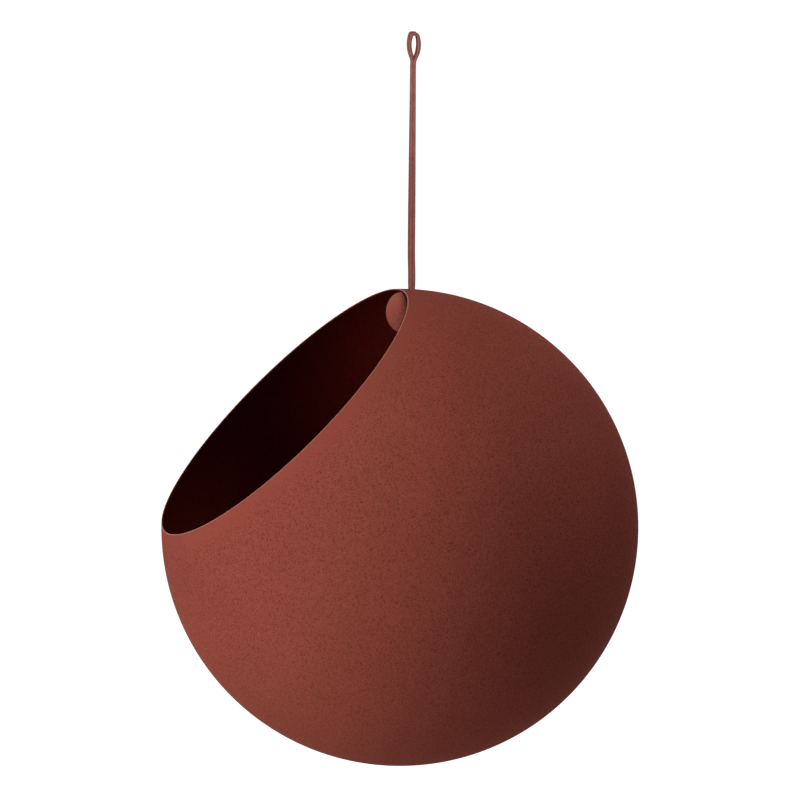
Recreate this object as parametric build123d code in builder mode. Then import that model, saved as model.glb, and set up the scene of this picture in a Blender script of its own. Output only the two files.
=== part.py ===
from build123d import *
import math
import os

# A globe planter that hangs by a doubled leather lace.
# Millimetres and degrees. +Z is up. The origin is the seat of the hook, at the top of the loop's
# inside. The lace hangs straight down from it, and the globe's mouth faces -X and up.

# Globe
globe_diameter = 300
globe_wall = 1.2
mouth_half_angle = 44.8       # seen from the globe's centre, from the mouth's axis to its rim
mouth_tilt = 45               # how far the mouth's axis points up from level
rim_edge_break = 0.3          # chamfer on both edges of the mouth's rim
hang_length = 160             # from the hook's seat to the height of the globe's top
lace_hole_setback = 6.2       # the lace hole lies this far behind the globe's vertical axis
lace_hole_clearance = 0.35    # round the corners of the doubled lace
lace_hole_edge_break = 0.3

# Lace
lace_width = 5
lace_thickness = 1.5
lace_leg_gap = 0.1            # between the two legs of the folded lace
loop_width = 4.9              # inside the loop, at its widest
loop_widest_drop = 6.2        # from the hook's seat down to the widest place
loop_throat_drop = 17.9       # from the hook's seat down to where the legs lie together
loop_crown_flat = 1.8         # nearly straight top of the fold
loop_corner_radius = 1.3      # middle of the lace's thickness, at the corners of the fold
twist_gap = 0.15              # between the stitched stretch and the legs that twist under it
nod_gap = 0.5                 # between the legs and the ends that go into the globe
tail_below_screw = 8

# Thread that holds the throat shut
thread_diameter = 0.7
thread_hole_clearance = 0.05
stitch_length = 2.4
stitch_below_throat = 1.5
stitch_to_loop_end = 2.2      # from the thread down to the end of the stitched stretch

# Knob
knob_diameter = 25
knob_depth = 14.4
knob_dome_rise = 9.4
knob_shoulder_radius = 7      # blends the straight side into the dome
knob_edge_break = 0.6
knob_to_shell = 0.35          # from the top of the knob to the inside of the globe
knob_to_lace = 0.05

# Screw and washer
screw_diameter = 3
screw_length = 12
screw_head_diameter = 6
screw_head_height = 2.2
screw_head_dome = 0.7
screw_fit = 0.05              # radial, in the tapped hole and the washer
screw_recess_depth = 1.2
screw_recess_span = 3.2
screw_recess_slot = 0.75
tapped_hole_depth = 9
tapped_hole_chamfer = 0.4
drill_point_slope = 31        # the drilled bottom is a shallow cone
washer_diameter = 9
washer_thickness = 0.8
seat_gap = 0.02               # between flat faces that are clamped together
lace_screw_hole_diameter = 3.2

# Places worked out from the sizes above
globe_radius = globe_diameter / 2
inner_radius = globe_radius - globe_wall
globe_centre = Vector(-lace_hole_setback, 0, -hang_length - globe_radius)
mouth_axis = Vector(-math.cos(math.radians(mouth_tilt)), 0, math.sin(math.radians(mouth_tilt)))
shell_top = globe_centre.Z + math.sqrt(globe_radius**2 - lace_hole_setback**2)

leg_offset = (lace_leg_gap + lace_thickness) / 2
lace_half_pack = lace_leg_gap / 2 + lace_thickness
lace_hole_radius = math.hypot(lace_half_pack, lace_width / 2) + lace_hole_clearance

knob_radius = knob_diameter / 2
knob_back_x = -lace_half_pack - knob_to_lace
knob_axis_z = globe_centre.Z + inner_radius - knob_to_shell - knob_radius
washer_front_x = lace_half_pack + seat_gap
head_seat_x = washer_front_x + washer_thickness + seat_gap

stitch_top = -loop_throat_drop - stitch_below_throat
stitch_bottom = stitch_top - stitch_length
stitch_offset = lace_half_pack + thread_diameter / 2 + thread_hole_clearance
loop_end = stitch_bottom - stitch_to_loop_end
legs_top = loop_end - twist_gap
legs_bottom = shell_top + nod_gap
tails_bottom = knob_axis_z - tail_below_screw

os.makedirs("parts", exist_ok=True)


def loop_arcs():
    """Radii and turns of the arcs from the fold's corner to the throat."""
    widest = loop_width / 2 + lace_thickness / 2 - loop_crown_flat / 2
    fall = loop_widest_drop + lace_thickness / 2 - loop_corner_radius
    reach = widest - loop_corner_radius
    side_radius = loop_corner_radius + (reach**2 + fall**2) / (2 * reach)
    corner_turn = 90 - math.degrees(2 * math.atan2(reach, fall))
    close = loop_width / 2 + lace_thickness / 2 - leg_offset
    drop = loop_throat_drop - loop_widest_drop
    throat_turn = math.degrees(2 * math.atan2(close, drop))
    throat_radius = drop / math.sin(math.radians(throat_turn)) - side_radius
    return side_radius, corner_turn, throat_turn, throat_radius


def leather_strip(x, top, bottom):
    """One straight stretch of the lace, centred on x."""
    with BuildPart() as strip:
        with BuildSketch(Plane.XY.offset(bottom)):
            with Locations((x, 0)):
                Rectangle(lace_thickness, lace_width)
        extrude(amount=top - bottom)
    return strip


def write_piece(piece, name):
    piece.label = name
    export_step(piece, f"parts/{name}.step")


# Globe shell: the wall is a band turned round the mouth's axis, its rim trimmed square and deburred
section_plane = Plane(origin=globe_centre, x_dir=mouth_axis, z_dir=(0, -1, 0))
wall_start = mouth_half_angle + math.degrees(rim_edge_break / globe_radius)
with BuildPart() as globe_shell:
    with BuildSketch(section_plane):
        with BuildLine():
            outside = CenterArc((0, 0), globe_radius, wall_start, 180 - wall_start)
            inside = CenterArc((0, 0), inner_radius, wall_start, 180 - wall_start)
            rim = PolarLine(
                Vector(inner_radius + rim_edge_break, 0).rotate(Axis.Z, mouth_half_angle),
                globe_wall - 2 * rim_edge_break,
                mouth_half_angle,
            )
            Line(outside @ 0, rim @ 1)
            Line(rim @ 0, inside @ 0)
            Line(outside @ 1, inside @ 1)
        make_face()
    revolve(axis=Axis(globe_centre, mouth_axis))
    with BuildSketch(Plane.XY.offset(-hang_length + globe_wall)):
        Circle(lace_hole_radius)
    extrude(amount=-globe_radius, mode=Mode.SUBTRACT)
    hole_edges = globe_shell.edges().filter_by(
        lambda edge: edge.center().Z > shell_top - 3 * globe_wall
        and abs(edge.bounding_box().size.Y - 2 * lace_hole_radius) < 0.01
    )
    chamfer(hole_edges, lace_hole_edge_break)
write_piece(globe_shell.part, "globe_shell")

# Top of the lace: the fold, its loop, and the stretch where the thread holds both legs
side_radius, corner_turn, throat_turn, throat_radius = loop_arcs()
with BuildPart() as lace_loop:
    with BuildSketch(Plane.XZ):
        with BuildLine():
            crown = Line((0, lace_thickness / 2), (loop_crown_flat / 2, lace_thickness / 2))
            corner = JernArc(crown @ 1, crown % 1, loop_corner_radius, -corner_turn)
            side = JernArc(corner @ 1, corner % 1, side_radius, corner_turn - 90 - throat_turn)
            throat = JernArc(side @ 1, side % 1, throat_radius, throat_turn)
            Line(throat @ 1, (leg_offset, loop_end))
            mirror(about=Plane.YZ)
        trace(line_width=lace_thickness)
    extrude(amount=lace_width / 2, both=True)
    with BuildSketch(Plane.YZ.offset(-lace_half_pack - lace_thickness)):
        with Locations((0, stitch_top), (0, stitch_bottom)):
            Circle(thread_diameter / 2 + thread_hole_clearance)
    extrude(amount=2 * (lace_half_pack + lace_thickness), mode=Mode.SUBTRACT)
write_piece(lace_loop.part, "lace_loop")

# Thread: one tight stitch through both legs, just under the loop
with BuildPart() as throat_stitch:
    with BuildLine(Plane.XZ) as thread:
        Polyline(
            (0, stitch_top),
            (stitch_offset, stitch_top),
            (stitch_offset, stitch_bottom),
            (-stitch_offset, stitch_bottom),
            (-stitch_offset, stitch_top),
            close=True,
        )
    with BuildSketch(Plane(origin=thread.line @ 0, z_dir=thread.line % 0)):
        Circle(thread_diameter / 2)
    sweep(transition=Transition.RIGHT)
write_piece(throat_stitch.part, "throat_stitch")

# Legs of the lace, side by side from the stitch down to the globe
front_leg = leather_strip(-leg_offset, legs_top, legs_bottom)
write_piece(front_leg.part, "lace_front_leg")
back_leg = leather_strip(leg_offset, legs_top, legs_bottom)
write_piece(back_leg.part, "lace_back_leg")

# Ends of the lace, through the hole in the globe and pierced for the screw
for name, x in (("lace_front_tail", -leg_offset), ("lace_back_tail", leg_offset)):
    with BuildPart() as tail:
        with BuildSketch(Plane.XY.offset(tails_bottom)):
            with Locations((x, 0)):
                Rectangle(lace_thickness, lace_width)
        extrude(amount=shell_top - tails_bottom)
        with BuildSketch(Plane.YZ.offset(x - lace_thickness)):
            with Locations((0, knob_axis_z)):
                Circle(lace_screw_hole_diameter / 2)
        extrude(amount=2 * lace_thickness, mode=Mode.SUBTRACT)
    write_piece(tail.part, name)

# Knob: turned, with a flat back on the lace, a short straight side, a domed front and a tapped hole
knob_side = knob_depth - knob_dome_rise
rise_past_shoulder = knob_dome_rise - knob_shoulder_radius
shoulder_height = knob_radius - knob_shoulder_radius
dome_centre_depth = (shoulder_height**2 - rise_past_shoulder**2) / (2 * rise_past_shoulder)
dome_radius = knob_dome_rise + dome_centre_depth
shoulder_turn = math.degrees(math.atan2(dome_centre_depth, shoulder_height))
tapped_radius = screw_diameter / 2 + screw_fit
drill_point = tapped_radius * math.tan(math.radians(drill_point_slope))
with BuildPart() as knob:
    with BuildSketch(Plane(origin=(0, 0, knob_axis_z), x_dir=(1, 0, 0), z_dir=(0, -1, 0))):
        with BuildLine():
            straight_part = Polyline(
                (knob_back_x - tapped_hole_depth - drill_point, 0),
                (knob_back_x - tapped_hole_depth, tapped_radius),
                (knob_back_x - tapped_hole_chamfer, tapped_radius),
                (knob_back_x, tapped_radius + tapped_hole_chamfer),
                (knob_back_x, knob_radius - knob_edge_break),
                (knob_back_x - knob_edge_break, knob_radius),
                (knob_back_x - knob_side, knob_radius),
            )
            shoulder = JernArc(straight_part @ 1, straight_part % 1, knob_shoulder_radius, shoulder_turn)
            dome = JernArc(shoulder @ 1, shoulder % 1, dome_radius, 90 - shoulder_turn)
            Line(dome @ 1, straight_part @ 0)
        make_face()
    revolve(axis=Axis((0, 0, knob_axis_z), (1, 0, 0)))
write_piece(knob.part, "knob")

# Washer between the leather and the head of the screw
with BuildPart() as knob_washer:
    with BuildSketch(Plane.YZ.offset(washer_front_x)):
        with Locations((0, knob_axis_z)):
            Circle(washer_diameter / 2)
            Circle(screw_diameter / 2 + screw_fit, mode=Mode.SUBTRACT)
    extrude(amount=washer_thickness)
write_piece(knob_washer.part, "knob_washer")

# Screw: pan head with a cross recess, from behind the lace into the knob
with BuildPart() as knob_screw:
    with BuildSketch(Plane.XZ):
        with BuildLine():
            head_side = head_seat_x + screw_head_height - screw_head_dome
            head_end = head_seat_x + screw_head_height
            tip_x = head_seat_x - screw_length
            Polyline(
                (head_end, knob_axis_z),
                (tip_x, knob_axis_z),
                (tip_x, knob_axis_z + screw_diameter / 2),
                (head_seat_x, knob_axis_z + screw_diameter / 2),
                (head_seat_x, knob_axis_z + screw_head_diameter / 2),
                (head_side, knob_axis_z + screw_head_diameter / 2),
            )
            TangentArc(
                (head_end, knob_axis_z),
                (head_side, knob_axis_z + screw_head_diameter / 2),
                tangent=(0, 1),
            )
        make_face()
    revolve(axis=Axis((0, 0, knob_axis_z), (1, 0, 0)))
    tip_edge = knob_screw.faces().sort_by(Axis.X)[0].edges()
    chamfer(tip_edge, tapped_hole_chamfer)
    with BuildSketch(Plane.YZ.offset(head_end)):
        with Locations((0, knob_axis_z)):
            Rectangle(screw_recess_span, screw_recess_slot)
            Rectangle(screw_recess_slot, screw_recess_span)
    extrude(amount=-screw_recess_depth, mode=Mode.SUBTRACT)
write_piece(knob_screw.part, "knob_screw")
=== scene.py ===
import math
import bpy
from mathutils import Matrix, Vector


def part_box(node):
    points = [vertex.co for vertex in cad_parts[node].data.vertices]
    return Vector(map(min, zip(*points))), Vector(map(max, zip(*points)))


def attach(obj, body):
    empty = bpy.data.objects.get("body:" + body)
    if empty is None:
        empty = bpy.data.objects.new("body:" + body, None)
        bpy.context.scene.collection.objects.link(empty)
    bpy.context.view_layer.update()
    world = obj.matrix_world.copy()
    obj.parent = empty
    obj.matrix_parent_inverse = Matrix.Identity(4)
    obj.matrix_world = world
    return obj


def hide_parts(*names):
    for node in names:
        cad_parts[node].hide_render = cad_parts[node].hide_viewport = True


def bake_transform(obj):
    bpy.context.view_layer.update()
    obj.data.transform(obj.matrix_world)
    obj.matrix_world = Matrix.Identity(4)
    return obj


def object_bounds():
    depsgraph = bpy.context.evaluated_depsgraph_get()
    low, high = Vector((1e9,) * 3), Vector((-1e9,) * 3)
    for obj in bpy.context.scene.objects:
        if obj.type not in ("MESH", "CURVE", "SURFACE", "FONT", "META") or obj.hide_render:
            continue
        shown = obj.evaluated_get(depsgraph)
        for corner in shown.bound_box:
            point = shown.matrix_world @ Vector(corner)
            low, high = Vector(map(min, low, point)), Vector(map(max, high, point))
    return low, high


# Globe planter on a folded leather lace, in metres. The mouth of the globe faces -X and up.

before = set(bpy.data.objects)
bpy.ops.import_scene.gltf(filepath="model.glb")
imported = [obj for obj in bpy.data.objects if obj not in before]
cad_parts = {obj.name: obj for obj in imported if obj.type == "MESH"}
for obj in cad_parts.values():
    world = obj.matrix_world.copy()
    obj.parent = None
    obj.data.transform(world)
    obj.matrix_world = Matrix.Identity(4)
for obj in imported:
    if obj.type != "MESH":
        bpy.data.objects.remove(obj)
cadBox = [list(corner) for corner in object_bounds()]

# points nearer than this are welded into one
copyWeld = 0.000002
stripWeld = 0.000001


# Selecting and shaping by hand

def deselectAll():
    if bpy.context.mode != "OBJECT":
        bpy.ops.object.mode_set(mode="OBJECT")
    bpy.ops.object.select_all(action="DESELECT")


def selectOnly(piece):
    deselectAll()
    piece.select_set(True)
    bpy.context.view_layer.objects.active = piece


def editAll(piece, selectMode="VERT"):
    selectOnly(piece)
    bpy.ops.object.mode_set(mode="EDIT")
    bpy.ops.mesh.select_mode(type=selectMode)
    bpy.ops.mesh.select_all(action="SELECT")


def applyModifiers(piece):
    selectOnly(piece)
    for name in [modifier.name for modifier in piece.modifiers]:
        bpy.ops.object.modifier_apply(modifier=name)


def cutAway(piece, cutter):
    # takes the cutter's shape out of the piece, then the cutter out of the scene
    cut = piece.modifiers.new("cut", "BOOLEAN")
    cut.operation = "DIFFERENCE"
    cut.solver = "EXACT"
    cut.object = cutter
    applyModifiers(piece)
    bpy.data.objects.remove(cutter)


def finishPiece(piece, smoothAngle=30):
    # place goes into the mesh, and faces that meet under the angle in degrees shade smoothly
    selectOnly(piece)
    bpy.ops.object.transform_apply(location=True, rotation=True, scale=True)
    bpy.ops.object.shade_smooth_by_angle(angle=math.radians(smoothAngle))
    deselectAll()


def mergedCopy(node, name):
    # a welded copy of a CAD node, so that its curved faces shade smoothly
    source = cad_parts[node]
    piece = bpy.data.objects.new(name, source.data.copy())
    bpy.context.scene.collection.objects.link(piece)
    editAll(piece)
    bpy.ops.mesh.remove_doubles(threshold=copyWeld)
    bpy.ops.object.mode_set(mode="OBJECT")
    finishPiece(piece)
    return piece


def giveMaterials(piece, *materials):
    piece.data.materials.clear()
    for material in materials:
        piece.data.materials.append(material)


def smoothStep(value, low, high):
    # 0 below low, 1 above high, an easy slope between
    t = min(max((value - low) / (high - low), 0), 1)
    return t * t * (3 - 2 * t)


# Node helpers for the materials

def newMaterial(name):
    material = bpy.data.materials.new(name)
    material.use_nodes = True
    nodes = material.node_tree.nodes
    return material, nodes, material.node_tree.links, nodes["Principled BSDF"]


def noiseNode(nodes, links, coordinates, scale, detail=2, stretch=(1, 1, 1)):
    mapping = nodes.new("ShaderNodeMapping")
    mapping.inputs["Scale"].default_value = stretch
    noise = nodes.new("ShaderNodeTexNoise")
    noise.inputs["Scale"].default_value = scale
    noise.inputs["Detail"].default_value = detail
    links.new(coordinates, mapping.inputs["Vector"])
    links.new(mapping.outputs["Vector"], noise.inputs["Vector"])
    return noise.outputs["Fac"]


def colourRamp(nodes, links, factor, stops):
    ramp = nodes.new("ShaderNodeValToRGB")
    elements = ramp.color_ramp.elements
    while len(elements) < len(stops):
        elements.new(0.5)
    for element, (place, colour) in zip(elements, stops):
        element.position = place
        element.color = (*colour, 1)
    links.new(factor, ramp.inputs["Fac"])
    return ramp.outputs["Color"]


def toneRamp(nodes, links, factor, tones):
    # greys around 1, which a colour is multiplied by
    return colourRamp(nodes, links, factor, [(place, (tone, tone, tone)) for place, tone in tones])


def multiplyNode(nodes, links, first, second, amount=1.0):
    mix = nodes.new("ShaderNodeMix")
    mix.data_type = "RGBA"
    mix.blend_type = "MULTIPLY"
    for value, socket in ((amount, mix.inputs[0]), (first, mix.inputs[6]), (second, mix.inputs[7])):
        if isinstance(value, bpy.types.NodeSocket):
            links.new(value, socket)
        else:
            socket.default_value = value
    return mix.outputs[2]


def bumpNode(nodes, links, height, strength, distance, after=None):
    bump = nodes.new("ShaderNodeBump")
    bump.inputs["Strength"].default_value = strength
    bump.inputs["Distance"].default_value = distance
    links.new(height, bump.inputs["Height"])
    if after is not None:
        links.new(after, bump.inputs["Normal"])
    return bump.outputs["Normal"]


# Sizes of the globe, which its coat needs too

shellLow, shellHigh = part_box("globe_shell")
globe = {
    "radius": (shellHigh.z - shellLow.z) / 2,
    "wall": 0.0012,
    "mouthHalfAngle": 44.8,     # degrees between the mouth's axis and its rim
    "mouthTilt": 45,            # degrees that the mouth's axis rises from level
    "segments": 256,
    "rings": 128,
    "rimTouch": 0.00001,        # edges this near to a rim's height are the rim's own
    "rimRound": 0.0005,
    "rimSteps": 4,
    "rimBand": 1.5,             # how far down the painted highlight on the outer edge can reach, in rounds of the rim
    "rimFacing": 0.25,          # the painted highlight looks away from the middle at least this much
    "rimLean": 0.05,            # and leans to the mouth this much more than the ball does there
    "coatFacing": 0.5,          # other faces that look away from the middle more than this get the outer coat, the rest the inside's painted shade
    "holeRadius": 0.00329,
    "holeSides": 64,
    "drillDepth": 0.02,
}
globeMiddle = Vector((shellHigh.x - globe["radius"], 0, shellLow.z + globe["radius"]))
tilt = math.radians(globe["mouthTilt"])
mouthAxis = Vector((-math.cos(tilt), 0, math.sin(tilt)))
mouthHeight = globe["radius"] * math.cos(math.radians(globe["mouthHalfAngle"]))
mouthPlane = globeMiddle.dot(mouthAxis) + mouthHeight


# Powder coat of the globe and the knob

coatLook = {
    "colour": (0.243, 0.055, 0.037),
    "grainScale": 700,              # orange peel of the textured coat, about 1.4 mm
    "grainBump": 0.45,
    "grainDepth": 0.0005,
    "speckScale": 1120,             # finer specks, under 1 mm
    "speckBump": 0.3,
    "speckDepth": 0.0003,
    "speckTones": ((0.3, 0.52), (0.42, 0.86), (0.5, 1.02), (0.64, 1.06), (0.76, 1.24)),
    "speckFade": (0.011, 0.001),    # specks thin out between these depths under the mouth
    "mottleScale": 14,              # broad, faint clouds
    "mottleTones": ((0.3, 0.95), (0.7, 1.05)),
    "roughness": 0.82,
    "specular": 0.02,
    "sheen": 0.0,
    "sheenRoughness": 0.6,
}
# painted shade: the inside of the globe is coloured near black red to stand for the shade in it
insideShadeLook = {**coatLook, "colour": (0.09, 0.008, 0.005), "specular": 0.0}
rimHighlightLook = {**coatLook, "colour": (0.4, 0.175, 0.145)}       # painted highlight: thin and pale on the outer edge, where light catches the rim
knobLook = {**coatLook, "speckScale": 900, "sheen": 0.06}


def depthUnderMouth(nodes, links, coordinates, fade):
    # 1 deeper than the first value of fade under the mouth's plane, 0 above the second
    along = nodes.new("ShaderNodeVectorMath")
    along.operation = "DOT_PRODUCT"
    along.inputs[1].default_value = mouthAxis
    links.new(coordinates, along.inputs[0])
    amount = nodes.new("ShaderNodeMapRange")
    amount.inputs["From Min"].default_value = mouthPlane - fade[0]
    amount.inputs["From Max"].default_value = mouthPlane - fade[1]
    amount.inputs["To Min"].default_value = 1.0
    amount.inputs["To Max"].default_value = 0.0
    links.new(along.outputs["Value"], amount.inputs["Value"])
    return amount.outputs["Result"]


def powderCoat(name, look):
    material, nodes, links, shader = newMaterial(name)
    coordinates = nodes.new("ShaderNodeTexCoord").outputs["Object"]
    grain = noiseNode(nodes, links, coordinates, look["grainScale"], detail=3)
    speck = noiseNode(nodes, links, coordinates, look["speckScale"], detail=1)
    mottle = noiseNode(nodes, links, coordinates, look["mottleScale"], detail=3)
    speckTone = toneRamp(nodes, links, speck, look["speckTones"])
    mottleTone = toneRamp(nodes, links, mottle, look["mottleTones"])
    speckAmount = depthUnderMouth(nodes, links, coordinates, look["speckFade"])
    colour = multiplyNode(nodes, links, (*look["colour"], 1), speckTone, speckAmount)
    colour = multiplyNode(nodes, links, colour, mottleTone)
    links.new(colour, shader.inputs["Base Color"])
    normal = bumpNode(nodes, links, grain, look["grainBump"], look["grainDepth"])
    normal = bumpNode(nodes, links, speck, look["speckBump"], look["speckDepth"], after=normal)
    links.new(normal, shader.inputs["Normal"])
    shader.inputs["Roughness"].default_value = look["roughness"]
    shader.inputs["Specular IOR Level"].default_value = look["specular"]
    shader.inputs["Sheen Weight"].default_value = look["sheen"]
    shader.inputs["Sheen Roughness"].default_value = look["sheenRoughness"]
    return material


# Dyed leather: each side of the strip has its own colour, and the fibres run along it everywhere

leatherLook = {
    "grain": {"colour": (0.118, 0.035, 0.03), "poreScale": 1500, "roughness": 0.6, "bump": 0.25},
    # a lighter grain colour for the loop of the fold
    "paleLoop": {"colour": (0.19, 0.066, 0.052), "poreScale": 1500, "roughness": 0.7, "bump": 0.3},
    # the flesh side is paler leather, and its colour is lifted further as painted light, so that it looks
    # lit where it lies in shade
    "fleshAndLight": {"colour": (0.58, 0.2, 0.16), "poreScale": 1900, "roughness": 0.9, "bump": 0.5},
    "edge": {"colour": (0.4, 0.138, 0.11), "poreScale": 1300, "roughness": 0.8, "bump": 0.3},
}
leatherFibre = {
    "poreTones": ((0.3, 0.8), (0.55, 1.0), (0.75, 1.15)),
    "fibreScale": 900,
    "fibreStretch": (1, 1, 0.22),
    "fibreTones": ((0.3, 0.9), (0.7, 1.08)),
    "wearScale": 120,
    "wearTones": ((0.35, 0.93), (0.65, 1.06)),
    "depth": 0.0001,
    "specular": 0.1,
}


def dyedLeather(name, look):
    material, nodes, links, shader = newMaterial(name)
    coordinates = nodes.new("ShaderNodeTexCoord").outputs["Object"]
    pores = noiseNode(nodes, links, coordinates, look["poreScale"], detail=3)
    fibres = noiseNode(
        nodes, links, coordinates, leatherFibre["fibreScale"], stretch=leatherFibre["fibreStretch"]
    )
    wear = noiseNode(nodes, links, coordinates, leatherFibre["wearScale"], detail=3)
    colour = (*look["colour"], 1)
    for pattern, tones in ((pores, "poreTones"), (fibres, "fibreTones"), (wear, "wearTones")):
        colour = multiplyNode(nodes, links, colour, toneRamp(nodes, links, pattern, leatherFibre[tones]))
    links.new(colour, shader.inputs["Base Color"])
    normal = bumpNode(nodes, links, pores, look["bump"], leatherFibre["depth"])
    normal = bumpNode(nodes, links, fibres, look["bump"] / 2, leatherFibre["depth"], after=normal)
    links.new(normal, shader.inputs["Normal"])
    shader.inputs["Roughness"].default_value = look["roughness"]
    shader.inputs["Specular IOR Level"].default_value = leatherFibre["specular"]
    return material


# Waxed thread for the throat of the loop

threadLook = {
    "plyScale": 3000,
    "plyStretch": (1, 1, 0.4),
    "plyColours": ((0.3, (0.09, 0.034, 0.027)), (0.7, (0.16, 0.062, 0.05))),
    "bump": 0.5,
    "depth": 0.00005,
    "roughness": 0.6,
}


def waxedThread(name):
    material, nodes, links, shader = newMaterial(name)
    coordinates = nodes.new("ShaderNodeTexCoord").outputs["Object"]
    plies = noiseNode(
        nodes, links, coordinates, threadLook["plyScale"], detail=1, stretch=threadLook["plyStretch"]
    )
    colour = colourRamp(nodes, links, plies, threadLook["plyColours"])
    links.new(colour, shader.inputs["Base Color"])
    normal = bumpNode(nodes, links, plies, threadLook["bump"], threadLook["depth"])
    links.new(normal, shader.inputs["Normal"])
    shader.inputs["Roughness"].default_value = threadLook["roughness"]
    return material


# Zinc plated steel for the screw and its washer

steelLook = {
    "lineScale": 2600,
    "lineColours": ((0.3, (0.5, 0.5, 0.5)), (0.7, (0.66, 0.66, 0.64))),
    "roughness": (0.28, 0.5),
    "bump": 0.15,
    "depth": 0.00005,
}


def zincSteel(name, lineStretch):
    material, nodes, links, shader = newMaterial(name)
    coordinates = nodes.new("ShaderNodeTexCoord").outputs["Object"]
    lines = noiseNode(nodes, links, coordinates, steelLook["lineScale"], stretch=lineStretch)
    colour = colourRamp(nodes, links, lines, steelLook["lineColours"])
    links.new(colour, shader.inputs["Base Color"])
    roughness = nodes.new("ShaderNodeMapRange")
    roughness.inputs["To Min"].default_value = steelLook["roughness"][0]
    roughness.inputs["To Max"].default_value = steelLook["roughness"][1]
    links.new(lines, roughness.inputs["Value"])
    links.new(roughness.outputs["Result"], shader.inputs["Roughness"])
    normal = bumpNode(nodes, links, lines, steelLook["bump"], steelLook["depth"])
    links.new(normal, shader.inputs["Normal"])
    shader.inputs["Metallic"].default_value = 1.0
    return material


globeCoat = powderCoat("globeCoat", coatLook)
# painted shade for the inside of the globe
globeInsidePaintedShade = powderCoat("globeInsidePaintedShade", insideShadeLook)
# painted highlight on the rim's outer round
rimPaintedHighlight = powderCoat("rimPaintedHighlight", rimHighlightLook)
knobCoat = powderCoat("knobCoat", knobLook)
leatherGrain = dyedLeather("leatherGrain", leatherLook["grain"])
leatherPaleLoop = dyedLeather("leatherPaleLoop", leatherLook["paleLoop"])
# the flesh side's colour holds painted light as well as its own paler tone
leatherFleshAndLight = dyedLeather("leatherFleshAndLight", leatherLook["fleshAndLight"])
leatherEdge = dyedLeather("leatherEdge", leatherLook["edge"])
threadFinish = waxedThread("threadFinish")
screwSteel = zincSteel("screwSteel", (1, 1, 1))
washerSteel = zincSteel("washerSteel", (0.1, 1, 1))
print("materials made")


# Globe: a ball cut open for the mouth, walled, its rim rounded, then tipped to the front

def cutBall():
    deselectAll()
    bpy.ops.mesh.primitive_uv_sphere_add(
        segments=globe["segments"], ring_count=globe["rings"], radius=globe["radius"], location=(0, 0, 0)
    )
    shell = bpy.context.object
    editAll(shell)
    bpy.ops.mesh.bisect(
        plane_co=(0, 0, mouthHeight), plane_no=(0, 0, 1), clear_outer=True, clear_inner=False
    )
    bpy.ops.object.mode_set(mode="OBJECT")
    wall = shell.modifiers.new("wall", "SOLIDIFY")
    wall.thickness = globe["wall"]
    wall.offset = -1
    wall.use_even_offset = True
    applyModifiers(shell)
    return shell


def roundRim(shell):
    editAll(shell, "EDGE")
    bpy.ops.mesh.select_all(action="DESELECT")
    bpy.ops.object.mode_set(mode="OBJECT")
    innerHeight = mouthHeight * (globe["radius"] - globe["wall"]) / globe["radius"]
    for edge in shell.data.edges:
        heights = [shell.data.vertices[index].co.z for index in edge.vertices]
        edge.select = any(
            all(abs(z - rimHeight) < globe["rimTouch"] for z in heights)
            for rimHeight in (mouthHeight, innerHeight)
        )
    bpy.ops.object.mode_set(mode="EDIT")
    bpy.ops.mesh.bevel(offset=globe["rimRound"], segments=globe["rimSteps"], affect="EDGES")
    bpy.ops.mesh.select_all(action="DESELECT")
    bpy.ops.object.mode_set(mode="OBJECT")


def placeGlobe(shell):
    # the mouth's axis goes from straight up to its tilt
    selectOnly(shell)
    shell.rotation_euler = (0, math.radians(globe["mouthTilt"] - 90), 0)
    shell.location = globeMiddle
    bpy.ops.object.transform_apply(location=True, rotation=True, scale=True)


def drillGlobe(shell):
    # the hole for the lace, at the top
    deselectAll()
    bpy.ops.mesh.primitive_cylinder_add(
        vertices=globe["holeSides"], radius=globe["holeRadius"], depth=globe["drillDepth"],
        location=(0, 0, shellHigh.z),
    )
    cutAway(shell, bpy.context.object)


def paintGlobe(shell):
    # the inside is painted dark as shade, running up over the rim, and the rim's outer round is painted
    # pale as a highlight
    giveMaterials(shell, globeCoat, globeInsidePaintedShade, rimPaintedHighlight)
    coatSlot, insideShadeSlot, rimHighlightSlot = range(3)
    bandStart = mouthPlane - globe["rimRound"] * globe["rimBand"]
    leastLean = math.cos(math.radians(globe["mouthHalfAngle"])) + globe["rimLean"]
    for face in shell.data.polygons:
        outward = face.normal.dot((face.center - globeMiddle).normalized())
        leansToMouth = face.normal.dot(mouthAxis) > leastLean
        onRim = face.center.dot(mouthAxis) > bandStart
        if onRim and leansToMouth and outward > globe["rimFacing"]:
            face.material_index = rimHighlightSlot
        else:
            face.material_index = coatSlot if outward > globe["coatFacing"] else insideShadeSlot


def buildGlobe():
    shell = cutBall()
    shell.name = "globeShell"
    roundRim(shell)
    placeGlobe(shell)
    drillGlobe(shell)
    paintGlobe(shell)
    finishPiece(shell, smoothAngle=40)
    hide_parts("globe_shell")
    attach(shell, "globe")
    print("globe shell:", len(shell.data.polygons), "faces")


buildGlobe()


# Lace: one leather strip folded double, in two pieces: the fold with both legs, and the two ends

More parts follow.
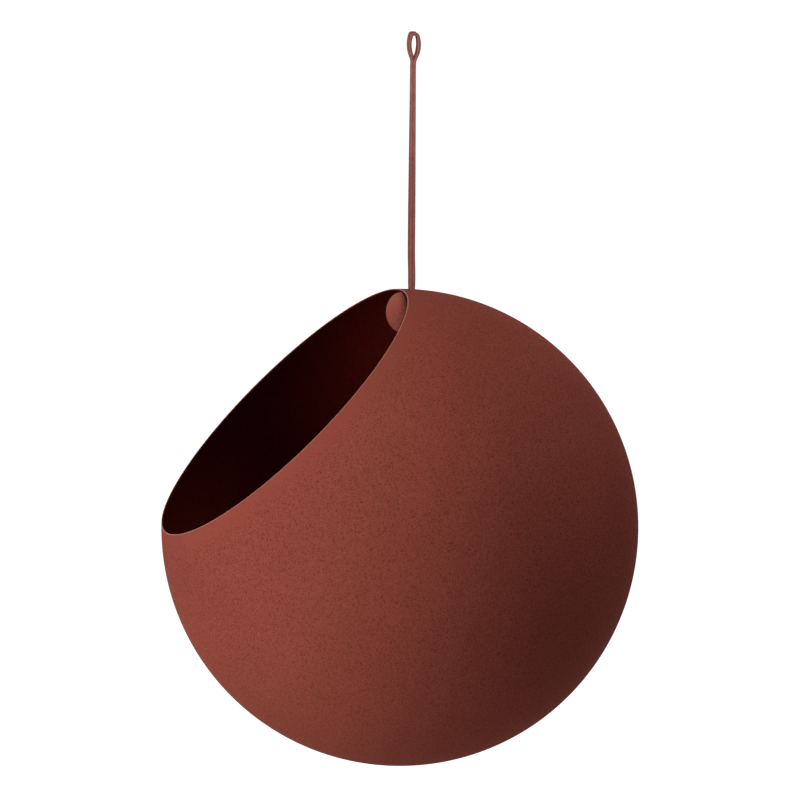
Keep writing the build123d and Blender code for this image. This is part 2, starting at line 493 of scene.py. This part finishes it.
loopLow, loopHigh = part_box("lace_loop")
legLow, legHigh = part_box("lace_front_leg")
tailLow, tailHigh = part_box("lace_front_tail")
lace = {
    "width": legHigh.y - legLow.y,
    "thickness": 0.00166,           # the leather swells a little past its nominal thickness
    "legOffset": 0.00084,           # middle of each leg, from the middle of the lace
    "cornerRound": 0.00032,
    "cornerSteps": 3,
    "widestDrop": 0.0062,           # both drops are measured down from the hook seat
    "throatDrop": 0.0179,
    "crownFlat": 0.0018,
    "foldRadius": 0.0013,
    "joinHeight": -0.120,           # where the upper and lower pieces meet
    "stepLength": 0.0016,
    "shortArcSteps": 8,
    "longArcSteps": 16,
    "crownRoll": 13,                # degrees that the fold leans back over its hook
    "rollHeights": (-0.0075, -0.0005),
    "loopTurn": 7.5,                # degrees that the strip turns about its own length
    "throatTurn": -9.0,
    "legTurn": 6.3,
    "legTurnEnd": -0.109,           # height where the legs have turned fully
    "throatEase": 0.005,            # the loop's turn eases in over this height
    "holeEase": (-0.002, 0.006),    # and the legs' turn eases out around the top of the tails
    "legShift": 0.0004,             # the legs hang a touch to the front of the loop's middle
    "shiftStart": (-0.020, -0.012),
    "shiftEnd": (-0.152, -0.135),
    "twistClear": 0.004,            # the joint's twist ends this much above the join
    "bendHeights": (-0.1572, -0.1625),      # the nod bends the lace between these
    "screwHole": 0.0016,
    "screwHoleSides": 32,
    "punchDepth": 0.01,
}


def loopArcs():
    # side and throat radii and the turns of the three arcs, from the sizes of the loop
    half = lace["thickness"] / 2
    widest = loopHigh.x - half - lace["crownFlat"] / 2
    fall = lace["widestDrop"] + half - lace["foldRadius"]
    reach = widest - lace["foldRadius"]
    sideRadius = lace["foldRadius"] + (reach**2 + fall**2) / (2 * reach)
    cornerTurn = 90 - math.degrees(2 * math.atan2(reach, fall))
    close = loopHigh.x - half - lace["legOffset"]
    drop = lace["throatDrop"] - lace["widestDrop"]
    throatTurn = math.degrees(2 * math.atan2(close, drop))
    throatRadius = drop / math.sin(math.radians(throatTurn)) - sideRadius
    return sideRadius, cornerTurn, throatTurn, throatRadius


def stripStart(x, z):
    # the cut face of the strip, lying flat, with its corners rubbed round
    deselectAll()
    bpy.ops.mesh.primitive_plane_add(size=1, location=(x, 0, z))
    strip = bpy.context.object
    strip.scale = (lace["thickness"], lace["width"], 1)
    bpy.ops.object.transform_apply(location=True, rotation=True, scale=True)
    editAll(strip)
    bpy.ops.mesh.bevel(offset=lace["cornerRound"], segments=lace["cornerSteps"], affect="VERTICES")
    bpy.ops.mesh.select_all(action="SELECT")
    bpy.ops.mesh.select_mode(type="FACE")
    return strip


def runStraight(place, heading, length):
    steps = max(1, round(length / lace["stepLength"]))
    stride = Vector((math.cos(heading), 0, math.sin(heading))) * (length / steps)
    for _ in range(steps):
        bpy.ops.mesh.extrude_region_move(TRANSFORM_OT_translate={"value": tuple(stride)})
    return place + stride * steps, heading


def runArc(place, heading, radius, turn, steps):
    # a positive turn is to the left, seen from -Y with X to the right
    side = math.copysign(1, turn)
    angle = math.radians(turn)
    centre = place + Vector((-math.sin(heading), 0, math.cos(heading))) * radius * side
    bpy.ops.mesh.spin(steps=steps, angle=angle, center=tuple(centre), axis=(0, 1, 0))
    turned = Matrix.Rotation(angle, 3, (0, -1, 0)) @ (place - centre)
    return centre + turned, heading + angle


def legTwist(z):
    # degrees about Z: the loop, then the legs just under the throat, easing to their lower turn
    throat = -lace["throatDrop"]
    if z > throat:
        share = smoothStep(z, throat, throat + lace["throatEase"])
        return lace["throatTurn"] + (lace["loopTurn"] - lace["throatTurn"]) * share
    share = min((throat - z) / (throat - lace["legTurnEnd"]), 1)
    turn = lace["throatTurn"] + (lace["legTurn"] - lace["throatTurn"]) * share
    return turn * smoothStep(z, tailHigh.z + lace["holeEase"][0], tailHigh.z + lace["holeEase"][1])


def twistStrip(strip):
    for vertex in strip.data.vertices:
        x, y, z = vertex.co
        turn = math.radians(legTwist(z))
        roll = math.tan(math.radians(lace["crownRoll"])) * smoothStep(z, *lace["rollHeights"])
        x -= lace["legShift"] * (1 - smoothStep(z, *lace["shiftStart"])) * smoothStep(z, *lace["shiftEnd"])
        vertex.co = (
            x * math.cos(turn) - y * math.sin(turn),
            x * math.sin(turn) + y * math.cos(turn),
            z + (y - lace["width"] / 2) * roll,
        )


def paintStrip(strip):
    # grain side outward on the doubled lace and lighter on the loop, flesh side inward with painted light,
    # cut edges along Y
    giveMaterials(strip, leatherGrain, leatherFleshAndLight, leatherEdge, leatherPaleLoop)
    grainSlot, fleshAndLightSlot, edgeSlot, paleLoopSlot = range(4)
    for face in strip.data.polygons:
        x, _, z = face.center
        if abs(face.normal.y) > 0.5:
            face.material_index = edgeSlot
        elif face.normal.x * x + face.normal.z * max(z + lace["widestDrop"], 0) > 0:
            face.material_index = paleLoopSlot if z > -lace["throatDrop"] else grainSlot
        else:
            face.material_index = fleshAndLightSlot


def closeStrip(strip):
    bpy.ops.mesh.select_all(action="SELECT")
    bpy.ops.mesh.remove_doubles(threshold=stripWeld)
    bpy.ops.mesh.normals_make_consistent(inside=False)
    bpy.ops.object.mode_set(mode="OBJECT")


def buildFold():
    sideRadius, cornerTurn, throatTurn, throatRadius = loopArcs()
    sideTurn = 90 + throatTurn - cornerTurn
    straight = -lace["throatDrop"] - lace["joinHeight"]
    arcs = [
        (throatRadius, throatTurn, lace["shortArcSteps"]),
        (sideRadius, -sideTurn, lace["longArcSteps"]),
        (lace["foldRadius"], -cornerTurn, lace["shortArcSteps"]),
    ]
    strip = stripStart(-lace["legOffset"], lace["joinHeight"])
    strip.name = "laceFold"

    # up the front leg, round the loop and down the back leg
    place = Vector((-lace["legOffset"], 0, lace["joinHeight"]))
    place, heading = runStraight(place, math.pi / 2, straight)
    for arc in arcs:
        place, heading = runArc(place, heading, *arc)
    place, heading = runStraight(place, heading, lace["crownFlat"])
    for arc in reversed(arcs):
        place, heading = runArc(place, heading, *arc)
    place, heading = runStraight(place, heading, straight)
    closeStrip(strip)
    print("fold ends, in millimetres, at", [round(value * 1000, 3) for value in place])
    paintStrip(strip)
    twistStrip(strip)
    finishPiece(strip, smoothAngle=50)
    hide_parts("lace_loop", "lace_front_leg", "lace_back_leg")
    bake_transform(strip)


def buildEnds():
    screwLow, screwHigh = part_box("knob_screw")
    strips = []
    for x in (-lace["legOffset"], lace["legOffset"]):
        strip = stripStart(x, lace["joinHeight"])
        runStraight(Vector((x, 0, lace["joinHeight"])), -math.pi / 2, lace["joinHeight"] - tailLow.z)
        closeStrip(strip)
        strips.append(strip)
    selectOnly(strips[0])
    strips[1].select_set(True)
    bpy.ops.object.join()
    ends = bpy.context.object
    ends.name = "laceEnds"
    paintStrip(ends)

    # pierce both ends for the screw
    deselectAll()
    bpy.ops.mesh.primitive_cylinder_add(
        vertices=lace["screwHoleSides"], radius=lace["screwHole"], depth=lace["punchDepth"],
        location=(0, 0, (screwLow.z + screwHigh.z) / 2), rotation=(0, math.pi / 2, 0),
    )
    cutAway(ends, bpy.context.object)
    twistStrip(ends)
    finishPiece(ends, smoothAngle=50)
    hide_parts("lace_front_tail", "lace_back_tail")
    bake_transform(ends)


buildFold()
buildEnds()
print("lace made")


# Thread at the throat of the loop: a flat ring of waxed thread through both legs

stitch = {
    "thread": 0.00022,          # radius of the thread
    "cornerRound": 0.0004,
    "cornerSteps": 6,
    "roundness": 4,
}


def buildStitch():
    low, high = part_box("throat_stitch")
    halfWidth = lace["legOffset"] + lace["thickness"] / 2
    top, bottom = high.z - stitch["thread"], low.z + stitch["thread"]
    deselectAll()
    bpy.ops.mesh.primitive_plane_add(
        size=1, location=(0, 0, (top + bottom) / 2), rotation=(math.pi / 2, 0, 0)
    )
    ring = bpy.context.object
    ring.name = "throatThread"
    ring.scale = (2 * halfWidth, top - bottom, 1)
    bpy.ops.object.transform_apply(location=True, rotation=True, scale=True)
    editAll(ring)
    bpy.ops.mesh.bevel(offset=stitch["cornerRound"], segments=stitch["cornerSteps"], affect="VERTICES")
    bpy.ops.mesh.select_all(action="SELECT")
    bpy.ops.mesh.delete(type="ONLY_FACE")
    bpy.ops.object.mode_set(mode="OBJECT")
    bpy.ops.object.convert(target="CURVE")
    ring.data.bevel_depth = stitch["thread"]
    ring.data.bevel_resolution = stitch["roundness"]
    bpy.ops.object.convert(target="MESH")
    twistStrip(ring)
    giveMaterials(ring, threadFinish)
    finishPiece(ring, smoothAngle=60)
    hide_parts("throat_stitch")
    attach(ring, "loop")


buildStitch()
print("thread made")


# Knob, screw and washer keep their CAD shapes, welded for smooth shading

def dressHardware():
    for node, name, material, slot in (
        ("knob", "turnedKnob", knobCoat, "knob_coat"),
        ("knob_screw", "panHeadScrew", screwSteel, "steel"),
        ("knob_washer", "flatWasher", washerSteel, "steel"),
    ):
        piece = mergedCopy(node, name)
        giveMaterials(piece, material)
        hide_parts(node)
        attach(piece, "globe")


dressHardware()
print("knob, screw and washer made")


# Studio: pale floor, soft lamps, white background

studio = {
    "floorDrop": 0.28,
    "floorSize": 60,
    "floorGrey": 0.63,
    "floorLift": 0.72,          # glow of the floor near the planter, where 1 is white by itself
    "shadowReach": (0.5, 1.1),  # the glow grows to 1 between these distances from the floor's middle
    "worldFill": 0.11,
}


def seenRay(nodes, links):
    # 1 for rays from the camera, in a reflection or through glass
    path = nodes.new("ShaderNodeLightPath")
    first = nodes.new("ShaderNodeMath")
    first.operation = "MAXIMUM"
    second = nodes.new("ShaderNodeMath")
    second.operation = "MAXIMUM"
    links.new(path.outputs["Is Camera Ray"], first.inputs[0])
    links.new(path.outputs["Is Glossy Ray"], first.inputs[1])
    links.new(first.outputs[0], second.inputs[0])
    links.new(path.outputs["Is Transmission Ray"], second.inputs[1])
    return second.outputs[0]


def floorGlow(nodes, links):
    # less glow near the planter, so that its shadow stays on the floor
    glow = nodes.new("ShaderNodeEmission")
    glow.inputs["Color"].default_value = (1, 1, 1, 1)
    coordinates = nodes.new("ShaderNodeTexCoord").outputs["Object"]
    reach = nodes.new("ShaderNodeVectorMath")
    reach.operation = "LENGTH"
    links.new(coordinates, reach.inputs[0])
    fade = nodes.new("ShaderNodeMapRange")
    fade.inputs["From Min"].default_value = studio["shadowReach"][0]
    fade.inputs["From Max"].default_value = studio["shadowReach"][1]
    fade.inputs["To Min"].default_value = studio["floorLift"]
    fade.inputs["To Max"].default_value = 1.0
    links.new(reach.outputs["Value"], fade.inputs["Value"])
    links.new(fade.outputs["Result"], glow.inputs["Strength"])
    return glow.outputs[0]


def buildFloor():
    deselectAll()
    floorHeight = cadBox[0][2] - studio["floorDrop"]
    bpy.ops.mesh.primitive_plane_add(size=studio["floorSize"], location=(0, 0, floorHeight))
    floor = bpy.context.object
    floor.name = "studioFloor"
    material, nodes, links, shader = newMaterial("paleFloor")
    nodes.remove(shader)
    tone = studio["floorGrey"]
    pale = nodes.new("ShaderNodeBsdfDiffuse")
    pale.inputs["Color"].default_value = (tone, tone, tone, 1)
    together = nodes.new("ShaderNodeAddShader")
    links.new(pale.outputs[0], together.inputs[0])
    links.new(floorGlow(nodes, links), together.inputs[1])
    choice = nodes.new("ShaderNodeMixShader")
    links.new(seenRay(nodes, links), choice.inputs[0])
    links.new(pale.outputs[0], choice.inputs[1])
    links.new(together.outputs[0], choice.inputs[2])
    links.new(choice.outputs[0], nodes["Material Output"].inputs["Surface"])
    floor.data.materials.append(material)


def buildWorld():
    # a faint fill for the planter, and plain white for the rays that are seen
    world = bpy.data.worlds.new("studioWorld")
    bpy.context.scene.world = world
    world.use_nodes = True
    nodes, links = world.node_tree.nodes, world.node_tree.links
    fill = nodes["Background"]
    fill.inputs["Color"].default_value = (1, 1, 1, 1)
    fill.inputs["Strength"].default_value = studio["worldFill"]
    white = nodes.new("ShaderNodeBackground")
    white.inputs["Color"].default_value = (1, 1, 1, 1)
    white.inputs["Strength"].default_value = 1.0
    choice = nodes.new("ShaderNodeMixShader")
    links.new(seenRay(nodes, links), choice.inputs[0])
    links.new(fill.outputs[0], choice.inputs[1])
    links.new(white.outputs[0], choice.inputs[2])
    links.new(choice.outputs[0], nodes["World Output"].inputs["Surface"])


camera = {
    "azimuth": -13.5,
    "elevation": 6.8,
    "roll": 0.51,
    "photoSize": 800,                   # pixels along each side of the photograph
    "focalPixels": 5500,
    "globePixel": (399.85, 527.15),     # where the globe's middle lies in the photograph
    "globeRadiusPixels": 238.4,
    "sensorWidth": 36,
    "clip": (0.1, 100),
}


def cameraAxes(azimuth, elevation, roll=0):
    # right, up and back of the camera, from its angles in degrees
    a, e, r = (math.radians(angle) for angle in (azimuth, elevation, roll))
    right = Vector((math.cos(a), math.sin(a), 0))
    up = Vector((-math.sin(a) * math.sin(e), math.cos(a) * math.sin(e), math.cos(e)))
    back = Vector((math.sin(a) * math.cos(e), -math.cos(a) * math.cos(e), math.sin(e)))
    return right * math.cos(r) + up * math.sin(r), up * math.cos(r) - right * math.sin(r), back


def buildCamera():
    right, up, back = cameraAxes(camera["azimuth"], camera["elevation"], camera["roll"])
    focal = camera["focalPixels"]
    middle = camera["photoSize"] / 2
    distance = globe["radius"] * focal / camera["globeRadiusPixels"]
    sideways = (camera["globePixel"][0] - middle) / focal * distance
    upward = (middle - camera["globePixel"][1]) / focal * distance
    place = globeMiddle + back * distance - right * sideways - up * upward
    data = bpy.data.cameras.new("studioCamera")
    data.sensor_width = camera["sensorWidth"]
    data.lens = camera["sensorWidth"] * focal / camera["photoSize"]
    data.clip_start, data.clip_end = camera["clip"]
    view = bpy.data.objects.new("studioCamera", data)
    bpy.context.scene.collection.objects.link(view)
    turn = Matrix((right, up, back)).transposed().to_4x4()
    view.matrix_world = Matrix.Translation(place) @ turn
    bpy.context.scene.camera = view


# each lamp's place: sideways, up and towards the camera from the globe's middle
lamps = {
    "keyLamp": {"place": (-1.9, -0.1, 1.2), "size": 1.5, "watts": 64},
    "topLamp": {"place": (0.25, 1.9, 0.5), "size": 1.5, "watts": 23},
}


def buildLamps():
    right, up, back = cameraAxes(camera["azimuth"], 0)
    for name, lamp in lamps.items():
        offset = right * lamp["place"][0] + up * lamp["place"][1] + back * lamp["place"][2]
        deselectAll()
        bpy.ops.object.light_add(type="AREA", location=globeMiddle + offset)
        light = bpy.context.object
        light.name = name
        light.rotation_mode = "QUATERNION"
        light.rotation_quaternion = offset.to_track_quat("Z", "Y")
        light.data.shape = "SQUARE"
        light.data.size = lamp["size"]
        light.data.energy = lamp["watts"]


buildFloor()
buildWorld()
buildCamera()
buildLamps()
bpy.context.scene.view_settings.view_transform = "Standard"
print("studio made")
